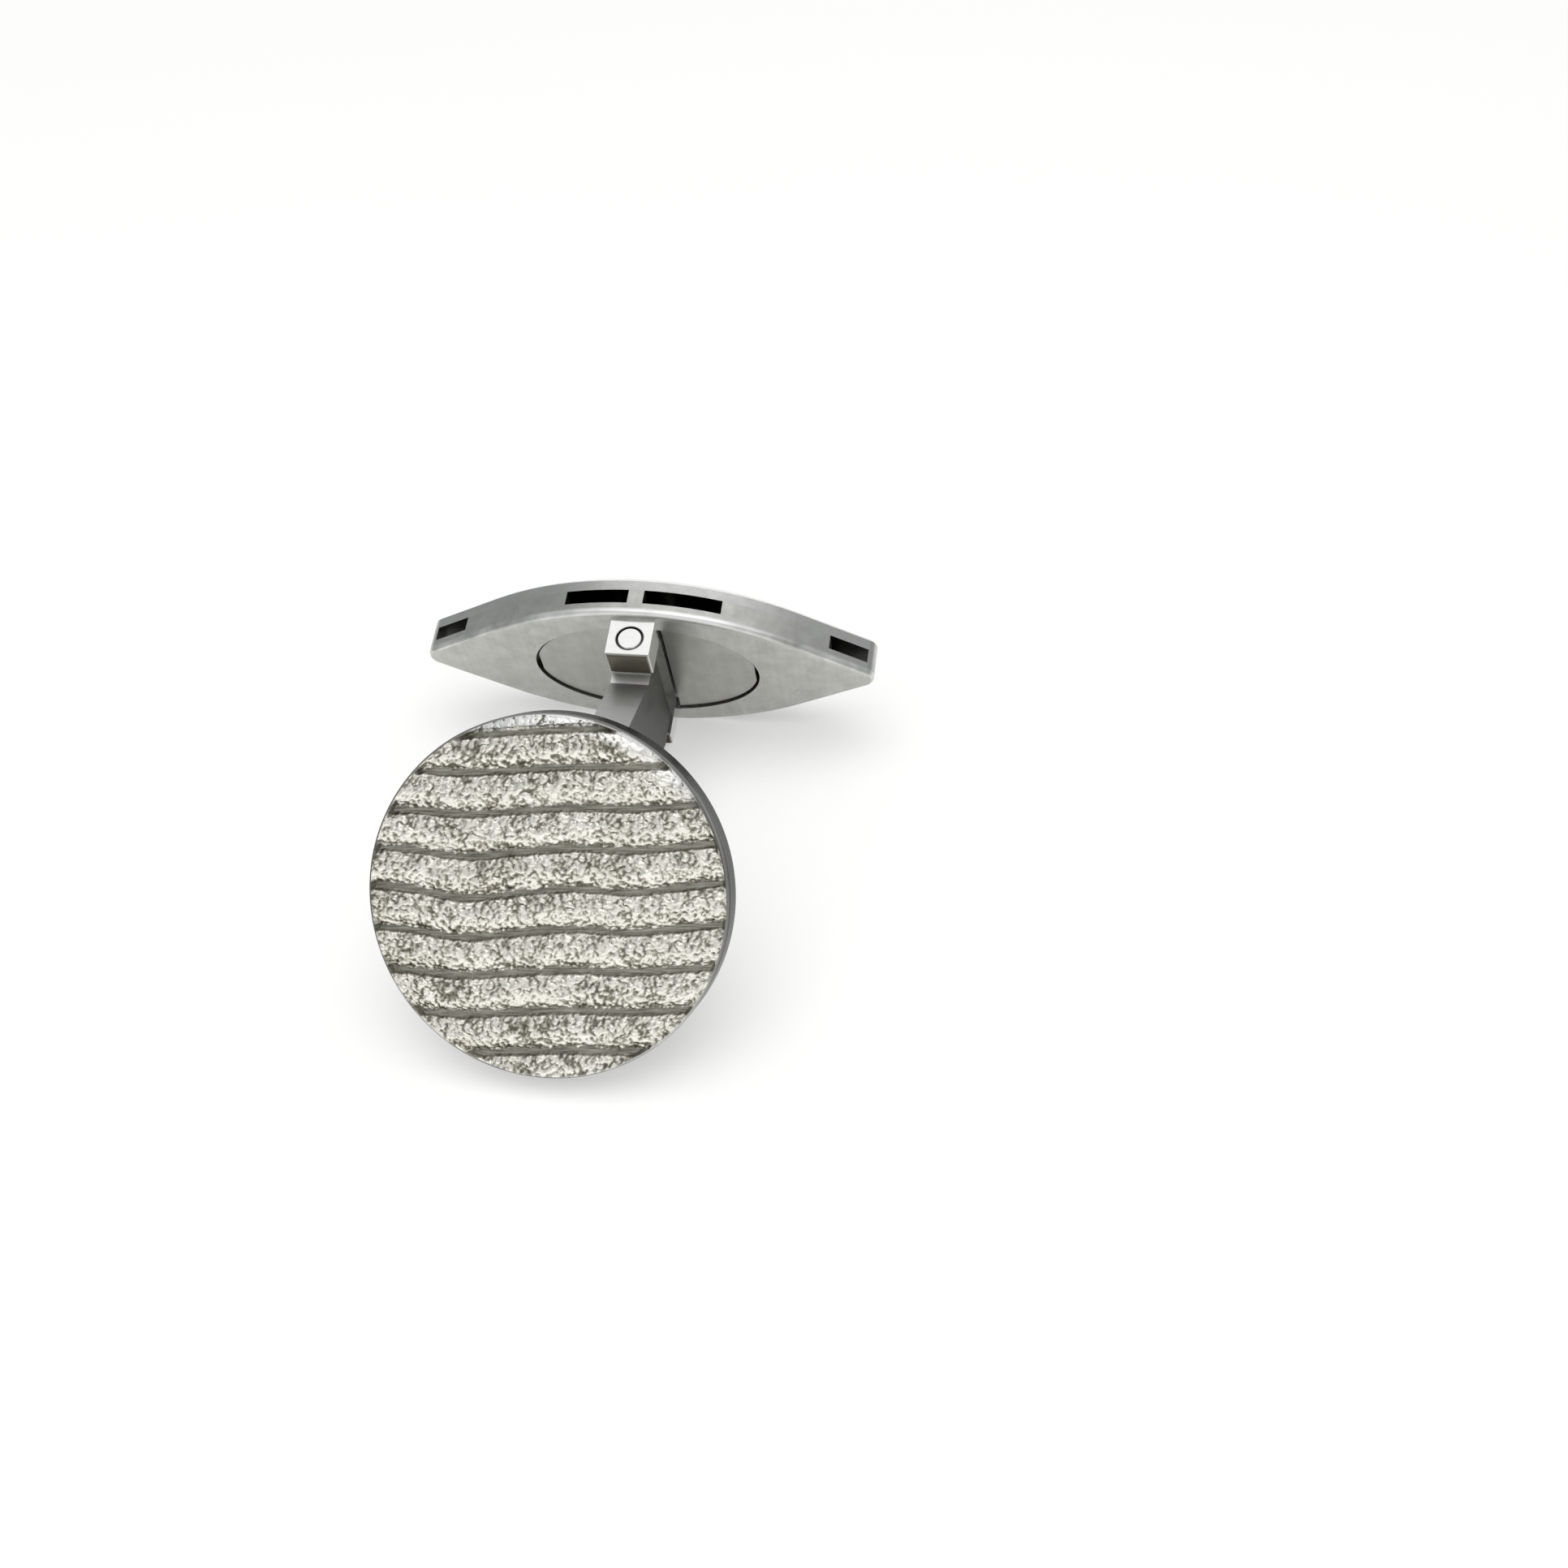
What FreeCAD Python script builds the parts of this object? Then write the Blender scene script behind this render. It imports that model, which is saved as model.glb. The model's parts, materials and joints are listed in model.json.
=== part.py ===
import FreeCAD, Part
import os
from math import cos, radians, sin, tan

# A round cufflink with a grooved face, a flat post and a swivelling toggle, lying as it is put down.
# Millimetres. X runs along the toggle, +Y from the face to the toggle, +Z is up and the table is Z = 0.

# Overall layout
disc_tilt = 35.0  # degrees that the face looks up
toggle_tilt = 18.5  # degrees that the toggle leans over the post
post_span = 17.4  # level distance from the disc's back to the toggle's inner face, at their centres

# Round face
face_radius = 7.5
disc_thickness = 1.85
rim_wall = 0.35
rim_edge = 0.1
back_plate_thickness = 0.75

# Wavy grooves across the face
groove_count = 9
groove_pitch = 1.67
groove_width = 0.34
groove_depth = 0.3
groove_rise = 0.26  # how far the middle groove lies above the centre
groove_turn = 4.8  # degrees that the grooves climb towards +X
wave_along_shares = (-1.1, -0.78, -0.46, -0.15, 0.15, 0.45, 0.78, 1.1)  # of the face's radius
wave_height_shares = (0.05, 0.02, -0.032, -0.009, 0.008, -0.015, 0.01, 0.04)  # of the face's radius
wave_strength_shares = (0.4, 0.45, 0.55, 0.9, 1.1, 0.95, 0.65, 0.5, 0.4)  # of that wave, top groove first

# Post and its collar
blade_thickness = 1.85
blade_half_height = 2.7
neck_length = 1.55
collar_width = 3.4
collar_margin = 0.75  # past the post at top and bottom
collar_height = 0.6
collar_edge = 0.25

# Toggle outline and plates
toggle_length = 22.4
toggle_width = 9.28
flank_angle = 30.7  # degrees between a straight flank and the toggle's length
tip_radius = 0.65
tray_plate_thickness = 0.7
slot_height = 0.75
cover_thickness = 0.75
cover_edge = 0.2
tray_edge = 0.3
stand_depth = 0.24  # how far the lower edge is flattened where it stands on the table
wall_thickness = 0.8
cavity_tip_radius = 0.3

# Slots in the toggle's rim
slot_bar = 0.75
left_slot_length = 3.1
right_slot_length = 3.7
tip_slot_length = 1.8
tip_post_length = 0.35

# Oval opening and its leaf springs
oval_length = 11.2
oval_width = 7.1
leaf_thickness = 0.25
leaf_clearance = 0.12
leaf_landing = 0.22
leaf_tab_length = 0.9
leaf_tab_width = 1.2

# Pivot
pin_radius = 0.64
pin_height = 1.05
pin_clearance = 0.03
pin_edge = 0.1
lug_width = 2.1
lug_height = 2.05
upper_lug_length = 1.5
lower_lug_length = 0.88
lug_edge = 0.12
lug_clearance = 0.05

overrun = 1.0

# Sizes that follow from the ones above
slope = radians(flank_angle)
lean = radians(toggle_tilt)
tilt = radians(disc_tilt)
half_width = toggle_width / 2
half_length = toggle_length / 2
toggle_thickness = tray_plate_thickness + slot_height + cover_thickness
tray_depth = tray_plate_thickness + slot_height
sharp_half_length = half_length - tip_radius + tip_radius / sin(slope)
side_radius = (sharp_half_length * sin(slope) - half_width * cos(slope)) / (1 - cos(slope))
side_centre = side_radius - half_width
neck_end = pin_height + neck_length
lug_start = blade_half_height + lug_clearance
stand_height = half_width * cos(lean) - stand_depth  # of the toggle's centre over the table
upper_lug_end = lug_start + upper_lug_length
lower_lug_end = -lug_start - lower_lug_length

x_axis = FreeCAD.Vector(1, 0, 0)
y_axis = FreeCAD.Vector(0, 1, 0)
z_axis = FreeCAD.Vector(0, 0, 1)
middle = FreeCAD.Vector(0, 0, 0)

# The whole cufflink is centred over the table by its front and rear edges
front_reach = (face_radius - rim_edge) * sin(tilt) + disc_thickness * cos(tilt)
rear_reach = post_span + (half_width - cover_edge) * sin(lean) + toggle_thickness * cos(lean)
disc_y = (front_reach - rear_reach) / 2
disc_centre = FreeCAD.Vector(0, disc_y, face_radius * cos(tilt))
toggle_centre = FreeCAD.Vector(0, disc_y + post_span, stand_height)


def on_disc(shape):
    """Moves a shape from the disc's own frame: back at z 0, face towards +z, top towards +y."""
    return shape.rotated(middle, x_axis, 90 - disc_tilt).translated(disc_centre)


def on_toggle(shape):
    """Moves a shape from the toggle's own frame: inner face at z 0, post towards +z, top towards +y."""
    return shape.rotated(middle, x_axis, 90 + toggle_tilt).translated(toggle_centre)


def disc_point(up):
    """A point of the disc's back, in the middle plane."""
    return disc_centre + FreeCAD.Vector(0, up * sin(tilt), up * cos(tilt))


def toggle_point(up, out):
    """A point above the toggle's inner face, in the middle plane."""
    across = FreeCAD.Vector(0, -up * sin(lean), up * cos(lean))
    towards_disc = FreeCAD.Vector(0, -out * cos(lean), -out * sin(lean))
    return toggle_centre + across + towards_disc


def block(x_range, y_range, z_range):
    """A box between the given limits."""
    corner = FreeCAD.Vector(x_range[0], y_range[0], z_range[0])
    size_x = x_range[1] - x_range[0]
    size_y = y_range[1] - y_range[0]
    size_z = z_range[1] - z_range[0]
    return Part.makeBox(size_x, size_y, size_z, corner)


def both_ways(reach):
    """The range from minus to plus one reach."""
    return (-reach, reach)


def edges_at_height(shape, height):
    """The edges of a shape that lie level at one height."""
    tolerance = overrun / 1000
    found = []
    for edge in shape.Edges:
        box = edge.BoundBox
        if abs(box.ZMin - height) < tolerance and abs(box.ZMax - height) < tolerance:
            found.append(edge)
    return found


def round_bar(radius, y_range, height):
    """A round bar across the toggle, at the pin's place."""
    start = FreeCAD.Vector(0, y_range[0], height)
    return Part.makeCylinder(radius, y_range[1] - y_range[0], start, y_axis)


# Face disc
def wave_curve(height, strength):
    """The line of one groove's edge across the face."""
    points = []
    for along_share, height_share in zip(wave_along_shares, wave_height_shares):
        x = along_share * face_radius
        y = height + strength * height_share * face_radius + x * tan(radians(groove_turn))
        points.append(FreeCAD.Vector(x, y, disc_thickness - groove_depth))
    curve = Part.BSplineCurve()
    curve.interpolate(points)
    return curve.toShape()


def groove(index):
    """The cutter of one wavy groove, counted from the top."""
    height = groove_rise + ((groove_count - 1) / 2 - index) * groove_pitch
    strength = wave_strength_shares[index % len(wave_strength_shares)]
    lower = wave_curve(height - groove_width / 2, strength)
    upper = wave_curve(height + groove_width / 2, strength)
    left = Part.LineSegment(lower.firstVertex().Point, upper.firstVertex().Point).toShape()
    right = Part.LineSegment(lower.lastVertex().Point, upper.lastVertex().Point).toShape()
    outline = Part.Wire(Part.__sortEdges__([lower, right, upper, left]))
    return Part.Face(outline).extrude(z_axis * (groove_depth + overrun))


def face_cap():
    """The grooved front with its rim wall, open at the back for the back plate."""
    cap = Part.makeCylinder(face_radius, disc_thickness)
    cap = cap.makeChamfer(rim_edge, edges_at_height(cap, disc_thickness))
    cap = cap.cut(Part.makeCylinder(face_radius - rim_wall, back_plate_thickness))
    for index in range(groove_count):
        cap = cap.cut(groove(index))
    return on_disc(cap)


def disc_back_plate():
    """The flat plate set into the back of the cap."""
    return on_disc(Part.makeCylinder(face_radius - rim_wall, back_plate_thickness))


# Post
def post_collar(blade):
    """The long boss round the foot of the post."""
    end_radius = collar_width / 2
    run = blade_half_height + collar_margin - end_radius
    boss = block(both_ways(end_radius), both_ways(run), (-collar_height, 0))
    for side in (-1, 1):
        end = FreeCAD.Vector(0, side * run, -collar_height)
        boss = boss.fuse(Part.makeCylinder(end_radius, collar_height, end))
    boss = boss.removeSplitter()
    boss = boss.makeChamfer(collar_edge, edges_at_height(boss, -collar_height))
    return on_disc(boss).cut(blade)


def post_blade():
    """The flat post from the disc's back to the eye on the pin."""
    corners = [
        toggle_point(blade_half_height, neck_end),
        toggle_point(-blade_half_height, neck_end),
        disc_point(-blade_half_height),
        disc_point(blade_half_height),
    ]
    side = x_axis * (-blade_thickness / 2)
    outline = Part.makePolygon([corner + side for corner in corners + corners[:1]])
    web = Part.Face(outline).extrude(x_axis * blade_thickness)
    eye_range = both_ways(blade_half_height)
    neck = block(both_ways(blade_thickness / 2), eye_range, (pin_height, neck_end))
    eye = neck.fuse(round_bar(blade_thickness / 2, eye_range, pin_height))
    bore = round_bar(pin_radius + pin_clearance, both_ways(blade_half_height + overrun), pin_height)
    return web.fuse(on_toggle(eye)).removeSplitter().cut(on_toggle(bore))


# Toggle
def marquise(inset, corner_radius, low, high):
    """A solid of the toggle's outline, drawn in all round, between two heights."""
    arc_radius = side_radius - inset
    top = arc_radius - side_centre
    tangent_x = arc_radius * sin(slope)
    tangent_y = arc_radius * cos(slope) - side_centre
    corner_x = sharp_half_length - inset / sin(slope) - corner_radius / sin(slope)
    flank_x = corner_x + corner_radius * sin(slope)
    flank_y = corner_radius * cos(slope)
    tip_x = corner_x + corner_radius

    def at(x, y):
        return FreeCAD.Vector(x, y, low)

    edges = []
    for way in (1, -1):
        arc_start = at(-way * tangent_x, way * tangent_y)
        arc_end = at(way * tangent_x, way * tangent_y)
        tip_start = at(way * flank_x, way * flank_y)
        tip_end = at(way * flank_x, -way * flank_y)
        next_arc = at(way * tangent_x, -way * tangent_y)
        edges.append(Part.Arc(arc_start, at(0, way * top), arc_end).toShape())
        edges.append(Part.LineSegment(arc_end, tip_start).toShape())
        edges.append(Part.Arc(tip_start, at(way * tip_x, 0), tip_end).toShape())
        edges.append(Part.LineSegment(tip_end, next_arc).toShape())
    return Part.Face(Part.Wire(Part.__sortEdges__(edges))).extrude(z_axis * (high - low))


def oval(length, width, low, high):
    """A solid oval, as the opening in the toggle's inner plate has it."""
    ring = Part.Ellipse(FreeCAD.Vector(0, 0, low), length / 2, width / 2).toShape()
    return Part.Face(Part.Wire([ring])).extrude(z_axis * (high - low))


def toggle_tray():
    """The inner plate with its oval opening, the bridge across that and the slotted walls, in one piece.

    Its lower edge is flat where it stands on the table.
    """
    tray = marquise(0, tip_radius, -tray_depth, 0)
    tray = tray.makeFillet(tray_edge, edges_at_height(tray, 0))
    slot_heights = (-tray_depth - overrun, -tray_plate_thickness)
    tray = tray.cut(marquise(wall_thickness, cavity_tip_radius, *slot_heights))
    whole_width = both_ways(half_width + overrun)
    bridge = block(both_ways(lug_width / 2), whole_width, (-tray_depth, overrun))
    tray = tray.cut(oval(oval_length, oval_width, -tray_depth, overrun).cut(bridge))
    for side, slot_length in ((-1, left_slot_length), (1, right_slot_length)):
        slot_ends = sorted((side * slot_bar / 2, side * (slot_bar / 2 + slot_length)))
        tip_end = half_length - tip_post_length
        tip_ends = sorted((side * tip_end, side * (tip_end - tip_slot_length)))
        tray = tray.cut(block(slot_ends, whole_width, slot_heights))
        tray = tray.cut(block(tip_ends, whole_width, slot_heights))
    beside = (toggle_centre.y - half_width, toggle_centre.y + half_width)
    under_table = block(both_ways(half_length), beside, (-half_width, 0))
    return on_toggle(tray).cut(under_table)


def cover_plate():
    """The outer plate of the toggle."""
    cover = marquise(0, tip_radius, -toggle_thickness, -tray_depth)
    return on_toggle(cover.makeChamfer(cover_edge, edges_at_height(cover, -toggle_thickness)))


def lug(ends):
    """A square lug on the inner plate, bored for the pin, between two heights up the toggle."""
    body = block(both_ways(lug_width / 2), ends, (0, lug_height))
    body = body.makeChamfer(lug_edge, edges_at_height(body, lug_height))
    bore = round_bar(pin_radius, (lower_lug_end - overrun, upper_lug_end + overrun), pin_height)
    return on_toggle(body.cut(bore))


def pivot_pin():
    """The pin through lugs and eye, flush with the lugs and eased at its ends."""
    bar = round_bar(pin_radius, (lower_lug_end, upper_lug_end), pin_height)
    end_edges = [edge for edge in bar.Edges if edge.isClosed()]
    return on_toggle(bar.makeChamfer(pin_edge, end_edges))


def leaf_spring(side):
    """A D-shaped leaf, nearly flush, that steps down under the inner plate; side is 1 for +X."""
    near = lug_width / 2 + leaf_clearance
    landing = oval_length / 2 - leaf_landing
    far = oval_length / 2 + leaf_tab_length
    flush = -leaf_clearance
    low = -tray_plate_thickness
    profile = (
        (near, flush),
        (landing, flush),
        (landing, low),
        (far, low),
        (far, low - leaf_thickness),
        (landing - leaf_thickness, low - leaf_thickness),
        (landing - leaf_thickness, flush - leaf_thickness),
        (near, flush - leaf_thickness),
    )
    start = -oval_width / 2
    points = [FreeCAD.Vector(side * x, start, z) for x, z in profile]
    strip = Part.Face(Part.makePolygon(points + points[:1])).extrude(y_axis * oval_width)
    trimmed = oval(oval_length - 2 * leaf_clearance, oval_width - 2 * leaf_clearance, -tray_depth, 0)
    tab_ends = sorted((side * landing, side * far))
    tab = block(tab_ends, both_ways(leaf_tab_width / 2), (-tray_depth, low))
    return on_toggle(strip.common(trimmed.fuse(tab)).removeSplitter())


blade_shape = post_blade()
shapes = {
    "face_cap": face_cap(),
    "disc_back_plate": disc_back_plate(),
    "post_collar": post_collar(blade_shape),
    "post_blade": blade_shape,
    "toggle_tray": toggle_tray(),
    "cover_plate": cover_plate(),
    "upper_lug": lug((lug_start, upper_lug_end)),
    "lower_lug": lug((lower_lug_end, -lug_start)),
    "pivot_pin": pivot_pin(),
    "left_leaf_spring": leaf_spring(-1),
    "right_leaf_spring": leaf_spring(1),
}

os.makedirs("parts", exist_ok=True)
for node, shape in shapes.items():
    shape.exportStep("parts/" + node + ".step")
    print(node, "solids", len(shape.Solids), "valid", shape.isValid(), "volume", round(shape.Volume, 3))
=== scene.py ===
"""A round cufflink with a wavy grooved face and a swivelling toggle, dressed for its portrait."""
import json
from math import cos, pi, radians, sin, tan

import bpy
import numpy as np
from mathutils import Matrix, Vector, noise


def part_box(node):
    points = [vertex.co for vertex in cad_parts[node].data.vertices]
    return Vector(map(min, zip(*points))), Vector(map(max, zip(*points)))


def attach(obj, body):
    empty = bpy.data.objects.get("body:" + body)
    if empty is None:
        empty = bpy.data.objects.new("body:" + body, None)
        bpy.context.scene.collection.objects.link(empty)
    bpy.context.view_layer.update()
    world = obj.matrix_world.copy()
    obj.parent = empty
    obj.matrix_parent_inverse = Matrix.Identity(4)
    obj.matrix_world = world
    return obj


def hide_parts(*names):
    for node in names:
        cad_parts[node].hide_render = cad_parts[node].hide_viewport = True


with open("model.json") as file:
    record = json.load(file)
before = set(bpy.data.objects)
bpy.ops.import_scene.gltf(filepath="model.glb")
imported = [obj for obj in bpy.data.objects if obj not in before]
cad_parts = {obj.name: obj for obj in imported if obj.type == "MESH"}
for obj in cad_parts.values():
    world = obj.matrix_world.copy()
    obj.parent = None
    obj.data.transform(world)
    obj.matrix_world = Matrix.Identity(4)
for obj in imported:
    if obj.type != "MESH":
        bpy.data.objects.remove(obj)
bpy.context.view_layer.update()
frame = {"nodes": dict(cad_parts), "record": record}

nodes = frame["nodes"]
record = frame["record"]

# Layout, in metres and radians. The disc's own axes are x across, y up its face and z out of its face.
disc_tilt = radians(35.0)
face_radius = 0.0075
disc_thickness = 0.00185
back_plate_thickness = 0.00075
rim_wall = 0.00035
plate_low, plate_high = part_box("disc_back_plate")
plate_centre = (Vector(plate_low) + Vector(plate_high)) / 2
face_normal = Vector((0, -cos(disc_tilt), sin(disc_tilt)))
disc_back = plate_centre - face_normal * back_plate_thickness / 2
disc_frame = Matrix.Translation(disc_back) @ Matrix.Rotation(pi / 2 - disc_tilt, 4, "X")

# The toggle's own axes start on the pin: x along the toggle, y up the pin and z towards the disc.
swivel = record["behaviour"]["joints"][0]
pin_way = Vector(swivel["axis"])
along_way = Vector((1, 0, 0))
toggle_turn = Matrix((along_way, pin_way, along_way.cross(pin_way))).transposed().to_4x4()
toggle_frame = Matrix.Translation(Vector(swivel["pos_m"])) @ toggle_turn
lug_front = 0.001
lug_edge = 0.00012
lug_low = 0.00275
lug_top = 0.00425
pin_radius = 0.00064
pin_gap = 0.00007
# Reach of the painted highlight along the tray's lip: strongest near the middle, gone at the lip's end
lip_middle = 0.0025
lip_end = 0.006
inner_face = -0.00105
tray_edge = 0.0003
tray_plate = 0.0007
slot_height = 0.00075
toggle_thickness = 0.0022
mask_edge = 0.00004
cover_edge = 0.0002
outer_face = inner_face - toggle_thickness
hollow_top = inner_face - tray_plate + 2 * mask_edge
hollow_bottom = inner_face - tray_plate - slot_height - 2 * mask_edge

# Wavy grooves of the face, the topmost first
groove_count = 9
groove_pitch = 0.00167
groove_width = 0.00034
groove_depth = 0.0003
groove_rise = 0.00026
top_groove_drop = 0.00014
groove_turn = radians(4.8)
wave_along_shares = (-1.1, -0.78, -0.46, -0.15, 0.15, 0.45, 0.78, 1.1)
wave_height_shares = (0.05, 0.02, -0.032, -0.009, 0.008, -0.015, 0.01, 0.04)
wave_strength_shares = (0.4, 0.45, 0.55, 0.9, 1.1, 0.95, 0.65, 0.5, 0.4)

# Relief of the bands between the grooves. The grid starts as a plain square, which the face radius scales.
unit_side = 2.0
relief_steps = 296
upper_wall = 0.00008
lower_wall = 0.00014
ragged_upper = 0.0001
ragged_lower = 0.00004
ragged_length = 0.0003
ragged_fine_length = 0.00012
ragged_fine_share = 0.6
# Painted shade on the lower groove wall, as a share of that on the upper wall
lower_wall_shade_share = 0.6
upper_crown = 0.0001
lower_crown = 0.00028
grain_size = 0.00027
grain_height = 0.00012
grain_turn = radians(37)
grain_middle_share = 0.6
fine_grain_size = 0.00013
fine_grain_height = 0.000035
patch_size = 0.0009
patch_grain_share = 0.4
# Shares of fine grain and patches in the grain's rank, which sets the painted shade in its creases
fine_shade_share = 0.25
patch_shade_share = 0.2
sunk_calm_share = 0.9
polish_calm_share = 0.75
plain_lip = 0.00014
rolled_edge = 0.00075
rolled_drop = 0.00024
rolled_power = 1.6
unlit_roll_share = 0.15
polish_power = 0.5
rim_round = 0.00008
wall_shoulder = 0.0006
lit_way = radians(77)
lit_from_share = 0.68
lit_ease_share = 0.17
cap_ease = 0.0001
smooth_angle = radians(50)

# Seeds of the noise
ragged_seed = 3.4
ragged_fine_seed = 9.3
grain_seed = 5.4
fine_grain_seed = 7.3
patch_seed = 11.6

# Depths of the finest marks, which the materials draw
grit_depth = 0.00003
polish_depth = 0.0000005
satin_depth = 0.000001
tray_depth = 0.000002
brush_depth = 0.000003

# Fineness of these marks, in grains or lines per metre
brush_across = 12000.0
brush_along = 300.0
scratch_across = 6000.0
scratch_along = 500.0
streak_across = 16000.0
streak_along = 900.0
grit_fineness = 14000.0
cloud_fineness = 1400.0
lip_cloud_fineness = 600.0
face_cloud_fineness = 500.0
floor_cloud_fineness = 8.0

# Tones of the marks and wear, and of painted shade and painted highlights
# Near-white of polished edges, which also paints a highlight along the tray's lip
polish_and_highlight_tone = (0.97, 0.97, 0.96, 1)
scratch_tone = (0.2, 0.2, 0.19, 1)
# Painted shade inside the slots
slot_shade_tone = (0.02, 0.02, 0.018, 1)
# Painted shade on the post's flat sides
side_shade_tone = (0.42, 0.42, 0.41, 1)
pin_ring_tone = (0.1, 0.1, 0.1, 1)
# Painted shade on the lug's front, a dark brownish reflection, darker towards the bottom
low_front_shade_tone = (0.042, 0.037, 0.024)
high_front_shade_tone = (0.135, 0.128, 0.095)
# Near-white of the face's polished patches, which also paints a highlight there
polish_highlight_tone = (0.95, 0.95, 0.93, 1)
face_wear_tone = (0.6, 0.56, 0.5, 1)
# Painted shade on the groove walls
wall_shade_tone = (0.07, 0.067, 0.055, 1)
wall_shade_strength_share = 0.85
rim_tone = (0.62, 0.62, 0.6)
post_edge_tint = (0.15, 0.15, 0.15, 1)
rim_edge_tint = (0.35, 0.35, 0.35, 1)

# Ways the brush lines run in a piece's own axes
upright = 0.0
slanting = radians(50)
crosswise = pi / 2
scratch_turn = radians(35)


def deselect_all():
    """Leaves nothing selected, so that an operator acts only on what follows."""
    for thing in bpy.context.selected_objects:
        thing.select_set(False)


def edit(piece):
    """Opens a piece in edit mode, with its edges to be selected."""
    deselect_all()
    piece.select_set(True)
    bpy.context.view_layer.objects.active = piece
    bpy.ops.object.mode_set(mode="EDIT")
    bpy.ops.mesh.select_mode(type="EDGE")


def close_edit():
    """Goes back to object mode."""
    bpy.ops.object.mode_set(mode="OBJECT")


def points_of(mesh):
    """Gives the mesh's points as rows of x, y and z."""
    flat = np.empty(len(mesh.vertices) * 3)
    mesh.vertices.foreach_get("co", flat)
    return flat.reshape(-1, 3)


def set_points(mesh, points):
    """Writes rows of x, y and z back to the mesh."""
    mesh.vertices.foreach_set("co", points.ravel())
    mesh.update()


def selected_points(mesh):
    """Tells which of the mesh's points are selected."""
    chosen = np.zeros(len(mesh.vertices), dtype=bool)
    mesh.vertices.foreach_get("select", chosen)
    return chosen


def ease(share):
    """Runs smoothly from 0 to 1 as the share does."""
    share = np.clip(share, 0, 1)
    return share * share * (3 - 2 * share)


def curve_through(x, knots, heights):
    """Gives a smooth curve through given knots, at the places x."""
    slopes = np.gradient(heights, knots)
    cell = np.clip(np.searchsorted(knots, x) - 1, 0, len(knots) - 2)
    width = knots[cell + 1] - knots[cell]
    t = (x - knots[cell]) / width
    start = heights[cell] * (1 + 2 * t) * (1 - t) ** 2 + slopes[cell] * width * t * (1 - t) ** 2
    end = heights[cell + 1] * t * t * (3 - 2 * t) + slopes[cell + 1] * width * t * t * (t - 1)
    return start + end


def groove_lines(x):
    """Gives the height of each groove's middle line across the face."""
    knots = np.array(wave_along_shares) * face_radius
    wave = curve_through(x, knots, np.array(wave_height_shares) * face_radius)
    middle = (groove_count - 1) / 2
    lines = np.array([
        groove_rise + (middle - row) * groove_pitch + strength * wave + x * tan(groove_turn)
        for row, strength in enumerate(wave_strength_shares)
    ])
    lines[0] -= top_groove_drop
    return lines


def noise_at(x, y, size, seed):
    """Gives smooth noise of the given grain size at each point, about -1 to 1."""
    return np.array([noise.noise(Vector((px, py, seed))) for px, py in zip(x / size, y / size)])


def crumple_at(x, y, size, seed):
    """Gives round bumps between sharp creases, 0 in the creases and about 1 on the bumps."""
    across = (x * cos(grain_turn) + y * sin(grain_turn)) / size
    up = (y * cos(grain_turn) - x * sin(grain_turn)) / size
    return np.array([
        noise.turbulence(Vector((px, py, seed)), 3, True, amplitude_scale=0.55, frequency_scale=2.1)
        for px, py in zip(across, up)
    ])


def rank_share(values):
    """Gives each value's place in the sorted order, from 0 to 1."""
    return values.argsort().argsort() / len(values)


def face_relief(x, y):
    """Gives the height at each point of the face, and the shares for its grooves, for painted shade on the
    groove walls and in the grain's creases, and for polishing with a painted highlight.
    """
    radius = np.hypot(x, y)
    lines = groove_lines(x)
    nearest = np.abs(y - lines).argmin(axis=0)
    line = lines[nearest, np.arange(len(y))]
    above = y - line
    over = above > 0

    ragged = noise_at(x, line, ragged_length, ragged_seed)
    ragged = ragged + ragged_fine_share * noise_at(x, line, ragged_fine_length, ragged_fine_seed)
    wall = np.where(over, upper_wall, lower_wall)
    half = groove_width / 2 - wall / 3 + ragged * np.where(over, ragged_upper, ragged_lower)
    sunk = ease((half + wall / 2 - np.abs(above)) / wall)
    # Painted shade on the groove walls, stronger on the upper, overhung wall
    wall_shade = 4 * sunk * (1 - sunk) * np.where(over, 1.0, lower_wall_shade_share)

    band_half = (groove_pitch - groove_width) / 2
    from_crest = np.clip(1 - (np.abs(above) - groove_width / 2) / band_half, 0, 1)
    cap = ease((y - lines[0] - groove_width / 2) / cap_ease)
    crown = -np.where(over, lower_crown, upper_crown) * from_crest ** 2 * (1 - cap)

    lit_side = ease((np.cos(np.arctan2(y, x) - lit_way) - lit_from_share) / lit_ease_share)
    roll = ease((radius - (face_radius - rolled_edge)) / rolled_edge)
    # Polished rolled edge and top cap, which also carry a painted highlight towards the light
    polish_and_highlight = np.maximum(roll ** polish_power * lit_side, cap) * (1 - sunk)

    bumps = crumple_at(x, y, grain_size, grain_seed)
    fine = noise_at(x, y, fine_grain_size, fine_grain_seed)
    patch = noise_at(x, y, patch_size, patch_seed)
    lip = ease((face_radius - rim_round - radius) / plain_lip)
    rough = (1 - sunk_calm_share * sunk) * (1 - polish_calm_share * polish_and_highlight) * lip
    coarse = grain_height * (bumps - grain_middle_share) * (1 + patch_grain_share * patch)
    grain = (coarse + fine_grain_height * fine) * rough
    tipped = -rolled_drop * roll ** rolled_power * (unlit_roll_share + (1 - unlit_roll_share) * lit_side)
    height = crown * (1 - sunk) * lip - groove_depth * sunk * lip + grain + tipped
    # Rank of the grain bumps: painted shade in the creases and lighter bump tops, with some tone varying at
    # random
    grain_shade_and_sheen = rank_share(bumps + fine_shade_share * fine + patch_shade_share * patch)
    return height, {"sunk": sunk, "wall_shade": wall_shade, "grain_shade_and_sheen": grain_shade_and_sheen, "polish_and_highlight": polish_and_highlight}


def share_attribute(mesh, name, values):
    """Keeps one share per point on the mesh, for the materials to read."""
    layer = mesh.attributes.new(name, "FLOAT", "POINT")
    layer.data.foreach_set("value", values.astype(np.float32))


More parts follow.
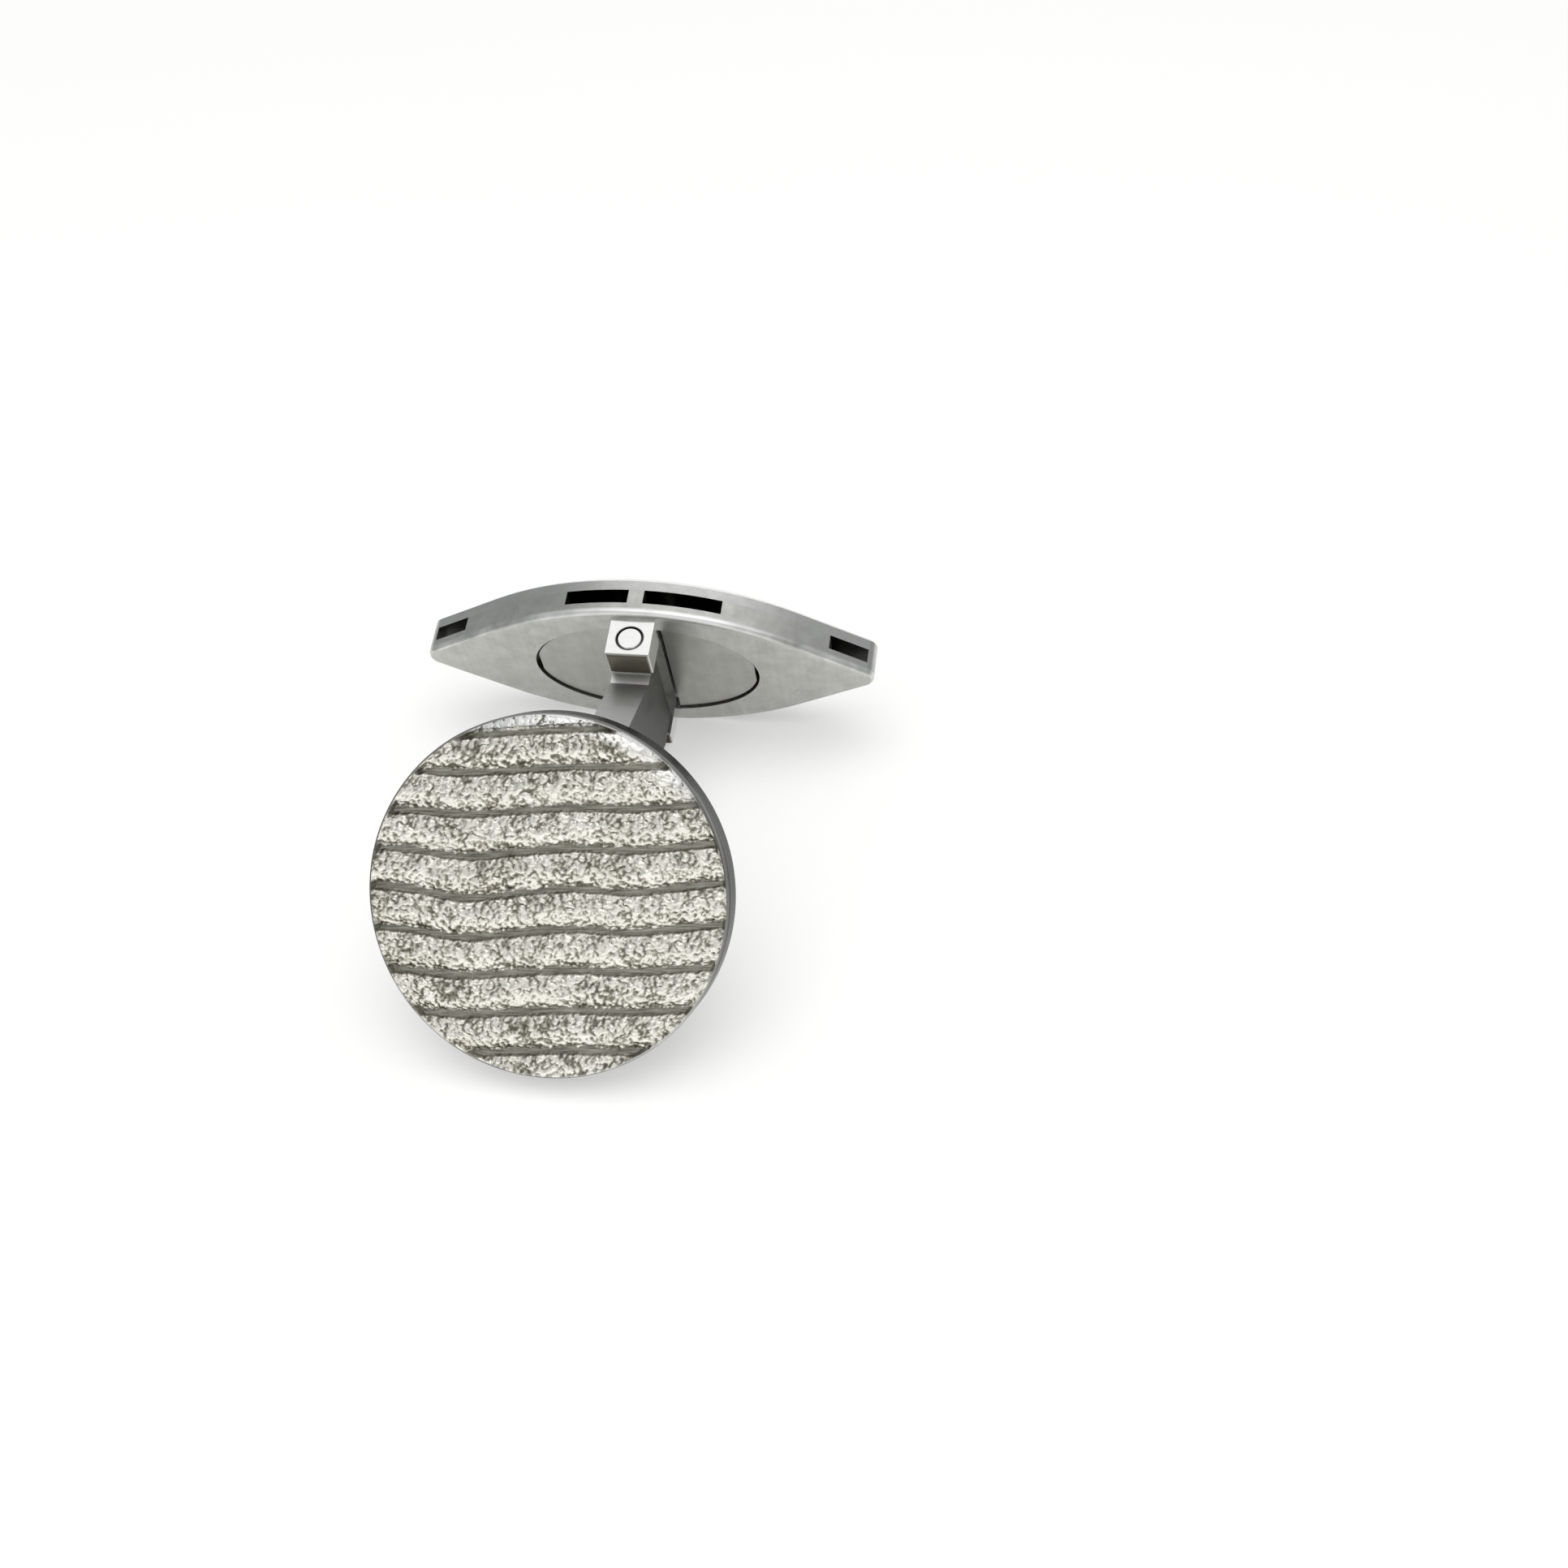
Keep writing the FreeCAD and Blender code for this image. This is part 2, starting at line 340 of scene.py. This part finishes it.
def extrude_ring(piece, radius, height=None, drop=0):
    """Draws the selected edge ring out to a radius, and to a height or down by a drop."""
    edit(piece)
    bpy.ops.mesh.extrude_region_move()
    close_edit()
    points = points_of(piece.data)
    ring = selected_points(piece.data)
    points[ring, :2] *= (radius / np.hypot(points[ring, 0], points[ring, 1]))[:, None]
    points[ring, 2] = points[ring, 2] - drop if height is None else height
    set_points(piece.data, points)


def grooved_face():
    """Makes the cup-shaped front: grooved and grained face, polished rim wall and open back."""
    deselect_all()
    bpy.ops.mesh.primitive_grid_add(x_subdivisions=relief_steps, y_subdivisions=relief_steps, size=unit_side)
    piece = bpy.context.active_object
    piece.name = "grooved_face"
    mesh = piece.data
    square = points_of(mesh)
    flat_radius = face_radius - rim_round
    disc = np.zeros_like(square)
    disc[:, 0] = square[:, 0] * np.sqrt(1 - square[:, 1] ** 2 / 2) * flat_radius
    disc[:, 1] = square[:, 1] * np.sqrt(1 - square[:, 0] ** 2 / 2) * flat_radius
    height, shares = face_relief(disc[:, 0], disc[:, 1])
    disc[:, 2] = disc_thickness + height
    set_points(mesh, disc)
    for name, values in shares.items():
        share_attribute(mesh, name, values)

    edit(piece)
    bpy.ops.mesh.select_all(action="DESELECT")
    bpy.ops.mesh.select_non_manifold()
    close_edit()
    face_count = len(mesh.polygons)
    extrude_ring(piece, face_radius, drop=rim_round)
    for radius, height in (
        (face_radius, disc_thickness - wall_shoulder),
        (face_radius, rim_round),
        (face_radius - rim_round, 0),
        (face_radius - rim_wall, 0),
        (face_radius - rim_wall, back_plate_thickness),
    ):
        extrude_ring(piece, radius, height)
    edit(piece)
    bpy.ops.mesh.edge_face_add()
    bpy.ops.mesh.select_all(action="SELECT")
    bpy.ops.mesh.normals_make_consistent(inside=False)
    close_edit()
    mesh.transform(disc_frame)
    bpy.ops.object.shade_smooth_by_angle(angle=smooth_angle)
    mesh.materials.append(face_material())
    mesh.materials.append(rim_material())
    slots = np.ones(len(mesh.polygons), dtype=np.int32)
    slots[:face_count] = 0
    mesh.polygons.foreach_set("material_index", slots)
    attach(piece, "link")
    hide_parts("face_cap")


def feed(tree, socket, value):
    """Links a socket where the value is another socket, and sets it otherwise."""
    if isinstance(value, bpy.types.NodeSocket):
        tree.links.new(value, socket)
    else:
        socket.default_value = value


def add(tree, kind, **inputs):
    """Adds a node and feeds its sockets, each named with _ for a space, or by _ and its number."""
    made = tree.nodes.new("ShaderNode" + kind)
    for name, value in inputs.items():
        key = int(name[1:]) if name[1:].isdigit() else name.replace("_", " ")
        feed(tree, made.inputs[key], value)
    return made


def ramp(tree, value, *stops):
    """Turns a value into greys or colours by stops of place and tone."""
    made = add(tree, "ValToRGB", Fac=value)
    band = made.color_ramp.elements
    while len(band) < len(stops):
        band.new(0.5)
    for element, (place, tone) in zip(band, stops):
        element.position = place
        element.color = (*tone, 1) if isinstance(tone, tuple) else (tone, tone, tone, 1)
    return made.outputs["Color"]


def spread(tree, value, low, high, first=0.0, second=1.0):
    """Runs from a first to a second value while the given value goes from low to high."""
    return add(tree, "MapRange", Value=value, _1=low, _2=high, _3=first, _4=second).outputs[0]


def mix_colour(tree, factor, first, second, blend="MIX"):
    """Mixes two colours by a factor."""
    made = tree.nodes.new("ShaderNodeMix")
    made.data_type = "RGBA"
    made.blend_type = blend
    for index, value in ((0, factor), (6, first), (7, second)):
        feed(tree, made.inputs[index], value)
    return made.outputs[2]


def sums(tree, operation, first, second):
    """Joins two values by a sum, product or the like."""
    made = add(tree, "Math", _0=first, _1=second)
    made.operation = operation
    return made.outputs[0]


def new_group(name, inputs, outputs):
    """Starts a shader node group with named value, vector or colour sockets."""
    tree = bpy.data.node_groups.new(name, "ShaderNodeTree")
    for label, kind, value in inputs:
        socket = tree.interface.new_socket(label, in_out="INPUT", socket_type="NodeSocket" + kind)
        if value is not None:
            socket.default_value = value
    for label, kind in outputs:
        tree.interface.new_socket(label, in_out="OUTPUT", socket_type="NodeSocket" + kind)
    entry = tree.nodes.new("NodeGroupInput")
    leave = tree.nodes.new("NodeGroupOutput")
    return tree, entry.outputs, leave.inputs


def brush_group():
    """Long fine lines as a wheel or belt leaves them; they run along the pattern's y."""
    tree, entry, leave = new_group(
        "brush_lines",
        [("Vector", "Vector", None), ("Across", "Float", brush_across), ("Along", "Float", brush_along)],
        [("Lines", "Float"), ("Broad", "Float")],
    )
    stretch = add(tree, "CombineXYZ", X=entry["Across"], Y=entry["Along"], Z=entry["Across"])
    fine = add(tree, "VectorMath", _0=entry["Vector"], _1=stretch.outputs[0])
    fine.operation = "MULTIPLY"
    lines = add(tree, "TexNoise", Vector=fine.outputs[0], Scale=1.0, Detail=3.0, Roughness=0.6)
    broad = add(tree, "TexNoise", Vector=fine.outputs[0], Scale=0.16, Detail=2.0, Roughness=0.5)
    tree.links.new(lines.outputs["Fac"], leave["Lines"])
    tree.links.new(broad.outputs["Fac"], leave["Broad"])
    return tree


def handling_group():
    """Soft uneven clouds and small dull spots, as handling leaves on metal."""
    tree, entry, leave = new_group(
        "handling",
        [("Vector", "Vector", None), ("Fineness", "Float", cloud_fineness)],
        [("Clouds", "Float"), ("Spots", "Float")],
    )
    place = entry["Vector"]
    clouds = add(tree, "TexNoise", Vector=place, Scale=entry["Fineness"], Detail=4.0, Roughness=0.55)
    small = sums(tree, "MULTIPLY", entry["Fineness"], 9.0)
    specks = add(tree, "TexNoise", Vector=place, Scale=small, Detail=1.0)
    tree.links.new(clouds.outputs["Fac"], leave["Clouds"])
    tree.links.new(spread(tree, specks.outputs["Fac"], 0.68, 0.76), leave["Spots"])
    return tree


brush_lines = brush_group()
handling = handling_group()


def place_group(tree, group, **inputs):
    """Places a node group in a material with its own values."""
    made = tree.nodes.new("ShaderNodeGroup")
    made.node_tree = group
    for name, value in inputs.items():
        feed(tree, made.inputs[name], value)
    return made.outputs


def new_material(name, axes):
    """Starts a material and gives its tree, its metal shader and its place in a piece's own axes."""
    made = bpy.data.materials.new(name)
    made.use_nodes = True
    tree = made.node_tree
    tree.nodes.clear()
    shader = tree.nodes.new("ShaderNodeBsdfPrincipled")
    leave = tree.nodes.new("ShaderNodeOutputMaterial")
    tree.links.new(shader.outputs[0], leave.inputs[0])
    shader.inputs["Metallic"].default_value = 1.0
    place = tree.nodes.new("ShaderNodeTexCoord").outputs["Object"]
    back = axes.inverted()
    own = add(tree, "Mapping", Vector=place, Location=back.translation, Rotation=back.to_euler())
    return made, tree, shader, own.outputs[0]


def attribute(tree, name):
    """Reads one of the shares kept on the face."""
    made = tree.nodes.new("ShaderNodeAttribute")
    made.attribute_name = name
    return made.outputs["Fac"]


def brushed(tree, shader, own, tone, contrast, roughness, turn, depth, lines_share=0.44):
    """Gives a metal shader brush lines and soft clouds, and hands back its colour."""
    turned = add(tree, "Mapping", Vector=own, Rotation=(0.0, 0.0, turn)).outputs[0]
    brush = place_group(tree, brush_lines, Vector=turned)
    marks = place_group(tree, handling, Vector=own)
    lines = sums(tree, "MULTIPLY", sums(tree, "ADD", brush["Lines"], brush["Broad"]), lines_share / 2)
    mixed = sums(tree, "ADD", lines, sums(tree, "MULTIPLY", marks["Clouds"], 1 - lines_share))
    dark = tuple(part * (1 - contrast) for part in tone)
    pale = tuple(min(part * (1 + contrast), 1.0) for part in tone)
    rough = spread(tree, mixed, 0.3, 0.7, roughness * 1.15, roughness * 0.87)
    spotted = sums(tree, "ADD", rough, sums(tree, "MULTIPLY", marks["Spots"], 0.1))
    tree.links.new(spotted, shader.inputs["Roughness"])
    bump = add(tree, "Bump", Height=brush["Lines"], Distance=depth, Strength=1.0)
    tree.links.new(bump.outputs[0], shader.inputs["Normal"])
    return ramp(tree, mixed, (0.32, dark), (0.68, pale))


def steel(name, axes, **look):
    """Makes a worked steel: brush lines and soft clouds over a metal."""
    made, tree, shader, own = new_material(name, axes)
    colour = brushed(tree, shader, own, **look)
    tree.links.new(colour, shader.inputs["Base Color"])
    return made


def facing(tree, way):
    """Tells how squarely a surface faces a way or its opposite, from 0 to 1."""
    normal = tree.nodes.new("ShaderNodeTexCoord").outputs["Normal"]
    turned = add(tree, "VectorMath", _0=normal, _1=way)
    turned.operation = "DOT_PRODUCT"
    return sums(tree, "ABSOLUTE", turned.outputs["Value"], 0.0)


def post_steel(name, axes, **look):
    """Makes the post's satin steel, with painted shade on its flat sides, and dark at a grazing look."""
    made, tree, shader, own = new_material(name, axes)
    colour = brushed(tree, shader, own, **look)
    # Painted shade on the flat sides of the post
    side_shade = spread(tree, facing(tree, axes.col[0].xyz), 0.6, 0.8)
    side_shaded = mix_colour(tree, side_shade, colour, side_shade_tone, "MULTIPLY")
    tree.links.new(side_shaded, shader.inputs["Base Color"])
    shader.inputs["Specular Tint"].default_value = post_edge_tint
    return made


def toggle_steel(name, axes, **look):
    """Makes a worked steel for the toggle's shell: painted shade, near-black, inside the slots' hollow,
    polished near-white along its edges, with a painted highlight along the tray's lip.
    """
    made, tree, shader, own = new_material(name, axes)
    colour = brushed(tree, shader, own, **look)
    split = add(tree, "SeparateXYZ", Vector=own).outputs
    out = split["Z"]
    over_edge = spread(tree, out, inner_face - 1.5 * tray_edge, inner_face - tray_edge)
    under_face = spread(tree, out, inner_face - mask_edge, inner_face - 2 * mask_edge)
    marks = place_group(tree, handling, Vector=own, Fineness=lip_cloud_fineness)
    edge = sums(tree, "MULTIPLY", over_edge, under_face)
    # The painted highlight along the lip is strongest over its middle and patchy with clouds
    middle = spread(tree, sums(tree, "ABSOLUTE", split["X"], 0.0), lip_middle, lip_end, 0.35, 0.0)
    patchy = spread(tree, sums(tree, "ADD", marks["Clouds"], middle), 0.38, 0.8)
    over_bevel = spread(tree, out, outer_face + 1.2 * cover_edge, outer_face + cover_edge)
    under_bevel = spread(tree, out, outer_face + mask_edge / 2, outer_face + mask_edge)
    bevel = sums(tree, "MULTIPLY", over_bevel, under_bevel)
    # Near-white along the cover's polished bevel, and along the tray's lip partly wear and partly a painted
    # highlight
    rubbed_and_highlit = sums(tree, "MAXIMUM", bevel, sums(tree, "MULTIPLY", edge, patchy))
    crossed = add(tree, "Mapping", Vector=own, Rotation=(0.0, 0.0, scratch_turn)).outputs[0]
    rare = place_group(tree, brush_lines, Vector=crossed, Across=scratch_across, Along=scratch_along)
    scratches = spread(tree, rare["Lines"], 0.68, 0.74, 0.0, 0.5)
    scratched = mix_colour(tree, scratches, colour, scratch_tone)
    wear_and_painted_light = mix_colour(tree, rubbed_and_highlit, scratched, polish_and_highlight_tone)
    # Painted shade, near-black, on the inner floors and ceilings of the slots
    level = spread(tree, facing(tree, axes.col[2].xyz), 0.6, 0.8)
    under_top = spread(tree, out, hollow_top, hollow_top - mask_edge)
    over_bottom = spread(tree, out, hollow_bottom, hollow_bottom + mask_edge)
    inside = sums(tree, "MULTIPLY", level, sums(tree, "MULTIPLY", under_top, over_bottom))
    tree.links.new(mix_colour(tree, inside, wear_and_painted_light, slot_shade_tone), shader.inputs["Base Color"])
    return made


def lug_steel(name, axes, **look):
    """Makes the polished lug steel, with painted shade as a dark brownish reflection on its front towards
    the disc, darker towards the bottom, and dark round the pin.
    """
    made, tree, shader, own = new_material(name, axes)
    colour = brushed(tree, shader, own, **look)
    split = add(tree, "SeparateXYZ", Vector=own).outputs
    # Painted shade on the lug's front face, darker towards the bottom
    front_shade = spread(tree, split["Z"], lug_front - lug_edge, lug_front - lug_edge / 4)
    rise = spread(tree, split["Y"], lug_low, lug_top)
    brown_shade = ramp(tree, rise, (0.1, low_front_shade_tone), (0.9, high_front_shade_tone))
    front_shaded = mix_colour(tree, front_shade, colour, brown_shade)
    level = add(tree, "VectorMath", _0=own, _1=(1, 0, 1))
    level.operation = "MULTIPLY"
    radius = add(tree, "VectorMath", _0=level.outputs[0])
    radius.operation = "LENGTH"
    off_ring = sums(tree, "ABSOLUTE", sums(tree, "SUBTRACT", radius.outputs["Value"], pin_radius), 0.0)
    ring = spread(tree, off_ring, pin_gap, pin_gap / 3)
    tree.links.new(mix_colour(tree, ring, front_shaded, pin_ring_tone), shader.inputs["Base Color"])
    return made


def face_material():
    """Bright crumpled bands with painted shade in their creases, dark streaky grooves with painted shade on
    their walls, and polished patches with a painted highlight towards the light.
    """
    made, tree, shader, own = new_material("face_silver", disc_frame)
    sunk = attribute(tree, "sunk")
    wall_shade = attribute(tree, "wall_shade")
    grain_shade_and_sheen = attribute(tree, "grain_shade_and_sheen")
    polish_and_highlight = attribute(tree, "polish_and_highlight")
    grit = add(tree, "TexNoise", Vector=own, Scale=grit_fineness, Detail=3.0, Roughness=0.65).outputs["Fac"]
    marks = place_group(tree, handling, Vector=own, Fineness=face_cloud_fineness)
    along = add(tree, "Mapping", Vector=own, Rotation=(0.0, 0.0, pi / 2 - groove_turn)).outputs[0]
    streaks = place_group(tree, brush_lines, Vector=along, Across=streak_across, Along=streak_along)
    # Painted shade in the grain's creases, lighter on the bump tops, with some tone varying at random
    band = ramp(
        tree, grain_shade_and_sheen, (0.02, (0.16, 0.15, 0.12)), (0.26, (0.5, 0.48, 0.41)), (0.56, (0.99, 0.975, 0.905))
    )
    clouded = spread(tree, marks["Clouds"], 0.3, 0.7, 0.3, 0.0)
    wear_and_painted_light = mix_colour(tree, clouded, band, face_wear_tone, "MULTIPLY")
    floor_tone = ramp(tree, streaks["Lines"], (0.3, (0.13, 0.126, 0.105)), (0.68, (0.5, 0.49, 0.42)))
    grooved = mix_colour(tree, sunk, wear_and_painted_light, floor_tone)
    # Painted shade on the groove walls
    wall_shaded = mix_colour(tree, sums(tree, "MULTIPLY", wall_shade, wall_shade_strength_share), grooved, wall_shade_tone)
    # Polished patches, painted near-white as a highlight
    polished = sums(tree, "MULTIPLY", polish_and_highlight, spread(tree, grain_shade_and_sheen, 0.02, 0.15))
    colour = mix_colour(tree, polished, wall_shaded, polish_highlight_tone)
    tree.links.new(colour, shader.inputs["Base Color"])
    tree.links.new(spread(tree, sunk, 0.0, 1.0, 0.17, 0.5), shader.inputs["Roughness"])
    bump = add(tree, "Bump", Height=grit, Distance=grit_depth, Strength=0.55)
    tree.links.new(bump.outputs[0], shader.inputs["Normal"])
    return made


def rim_material():
    """Polished rim wall with faint turning lines, and painted shade as a dark reflection, darkest round its
    upper half.
    """
    made, tree, shader, own = new_material("rim_polish", disc_frame)
    colour = brushed(
        tree, shader, own, rim_tone, contrast=0.04, roughness=0.18, turn=crosswise, depth=polish_depth
    )
    up = add(tree, "SeparateXYZ", Vector=own).outputs["Y"]
    height = spread(tree, up, -face_radius, face_radius)
    # Painted shade by height round the rim: lightest at the bottom, darkest round the upper half
    shade = ramp(tree, height, (0.1, 1.0), (0.35, 0.42), (0.6, 0.3), (0.85, 0.65), (1.0, 0.8))
    tree.links.new(mix_colour(tree, 1.0, colour, shade, "MULTIPLY"), shader.inputs["Base Color"])
    shader.inputs["Specular Tint"].default_value = rim_edge_tint
    return made


finishes = {
    "polished_back": steel(
        "disc_back_polish", disc_frame,
        tone=(0.6, 0.6, 0.58), contrast=0.05, roughness=0.14, turn=upright, depth=polish_depth,
    ),
    "post_steel": post_steel(
        "post_satin", toggle_frame,
        tone=(0.92, 0.92, 0.91), contrast=0.04, roughness=0.4, turn=crosswise, depth=satin_depth,
    ),
    "satin_steel": toggle_steel(
        "tray_satin", toggle_frame,
        tone=(0.5, 0.5, 0.475), contrast=0.16, roughness=0.33, turn=upright, depth=tray_depth,
    ),
    "brushed_cover": toggle_steel(
        "cover_brushed", toggle_frame,
        tone=(0.53, 0.53, 0.52), contrast=0.11, roughness=0.3, turn=slanting, depth=brush_depth,
        lines_share=0.85,
    ),
    "polished_lug": lug_steel(
        "lug_polish", toggle_frame,
        tone=(0.8, 0.8, 0.79), contrast=0.04, roughness=0.2, turn=upright, depth=satin_depth,
    ),
    "spring_steel": steel(
        "spring_brushed", toggle_frame,
        tone=(0.43, 0.43, 0.4), contrast=0.12, roughness=0.33, turn=upright, depth=brush_depth,
    ),
}
slot_of = {row["node"]: row["material_slot"] for row in record["subparts"]}

for name, thing in nodes.items():
    if slot_of[name] in finishes:
        thing.data.materials.clear()
        thing.data.materials.append(finishes[slot_of[name]])

grooved_face()

# Floor, light and camera
floor_half = 1.0
floor_glow_share = 0.35
softbox_width = 0.4
softbox_place = Vector((0.0, -0.05, 0.36))
softbox_watts = 0.8
softbox_tone = (1.0, 0.985, 0.955)
room_tone = (0.36, 0.37, 0.37)
upper_room_tone = (0.6, 0.61, 0.61)
ceiling_tone = (1.0, 1.0, 1.0)
front_tone = (0.755, 0.75, 0.73, 1)
room_strength = 1.2
ceiling_way = Vector((0.08, 0.15, 0.985))
front_way = Vector((0.0, -0.98, 0.2))
camera_place = Vector((0.019583, -0.058303, 0.058666))
camera_azimuth = radians(10.898)
camera_elevation = radians(41.565)
camera_roll = radians(-3.747)
camera_lens = 41.474
camera_sensor = 36.0
nearest_seen = 0.005


def pale_floor():
    """Lays the plain pale floor under the object."""
    deselect_all()
    bpy.ops.mesh.primitive_plane_add(size=2 * floor_half)
    floor = bpy.context.active_object
    floor.name = "pale_floor"
    made, tree, shader, own = new_material("floor_white", Matrix.Identity(4))
    cloud = add(tree, "TexNoise", Vector=own, Scale=floor_cloud_fineness, Detail=2.0).outputs["Fac"]
    pale = ramp(tree, cloud, (0.3, (0.94, 0.94, 0.94)), (0.7, (0.96, 0.96, 0.955)))
    tree.links.new(pale, shader.inputs["Base Color"])
    shader.inputs["Metallic"].default_value = 0.0
    shader.inputs["Roughness"].default_value = 0.7
    shader.inputs["Specular IOR Level"].default_value = 0.1
    path = tree.nodes.new("ShaderNodeLightPath").outputs
    mirrored = sums(tree, "MAXIMUM", path["Is Glossy Ray"], path["Is Transmission Ray"])
    seen = sums(tree, "MAXIMUM", path["Is Camera Ray"], mirrored)
    share = sums(tree, "MULTIPLY", seen, floor_glow_share)
    glow = add(tree, "Emission", Color=(1, 1, 1, 1), Strength=1.0)
    both = add(tree, "MixShader", _0=share, _1=shader.outputs[0], _2=glow.outputs[0])
    tree.links.new(both.outputs[0], tree.nodes["Material Output"].inputs[0])
    floor.data.materials.append(made)


def softbox():
    """Hangs one large soft lamp overhead."""
    lamp = bpy.data.lights.new("softbox", "AREA")
    lamp.shape = "SQUARE"
    lamp.size = softbox_width
    lamp.energy = softbox_watts
    lamp.color = softbox_tone
    box = bpy.data.objects.new("softbox", lamp)
    box.location = softbox_place
    box.rotation_euler = (-softbox_place).to_track_quat("-Z", "Y").to_euler()
    box.visible_glossy = False
    bpy.context.collection.objects.link(box)


def grey_room():
    """Greys the room: a bright ceiling, a pale low front and dimmer sides."""
    world = bpy.data.worlds.new("studio")
    bpy.context.scene.world = world
    world.use_nodes = True
    tree = world.node_tree
    tree.nodes.clear()
    way = tree.nodes.new("ShaderNodeTexCoord").outputs["Generated"]
    nearness = add(tree, "VectorMath", _0=way, _1=ceiling_way)
    nearness.operation = "DOT_PRODUCT"
    ceiling = spread(tree, nearness.outputs["Value"], 0.74, 0.95)
    room = ramp(tree, ceiling, (0.0, room_tone), (0.4, upper_room_tone), (1.0, ceiling_tone))
    frontness = add(tree, "VectorMath", _0=way, _1=front_way)
    frontness.operation = "DOT_PRODUCT"
    front = spread(tree, frontness.outputs["Value"], 0.6, 1.0)
    tone = mix_colour(tree, front, room, front_tone)
    glow = add(tree, "Background", Color=tone, Strength=room_strength)
    leave = tree.nodes.new("ShaderNodeOutputWorld")
    tree.links.new(glow.outputs[0], leave.inputs[0])


def portrait_camera():
    """Sets the camera at the photograph's viewing angle."""
    right = Vector((cos(camera_azimuth), sin(camera_azimuth), 0))
    level = Vector((sin(camera_azimuth), -cos(camera_azimuth), 0))
    back = level * cos(camera_elevation) + Vector((0, 0, sin(camera_elevation)))
    up = back.cross(right)
    across = right * cos(camera_roll) + up * sin(camera_roll)
    top = up * cos(camera_roll) - right * sin(camera_roll)
    lens = bpy.data.cameras.new("portrait")
    lens.sensor_width = camera_sensor
    lens.lens = camera_lens
    lens.clip_start = nearest_seen
    camera = bpy.data.objects.new("portrait", lens)
    turn = Matrix((across, top, back)).transposed().to_4x4()
    camera.matrix_world = Matrix.Translation(camera_place) @ turn
    bpy.context.collection.objects.link(camera)
    bpy.context.scene.camera = camera


pale_floor()
softbox()
grey_room()
portrait_camera()
bpy.context.scene.view_settings.view_transform = "Standard"
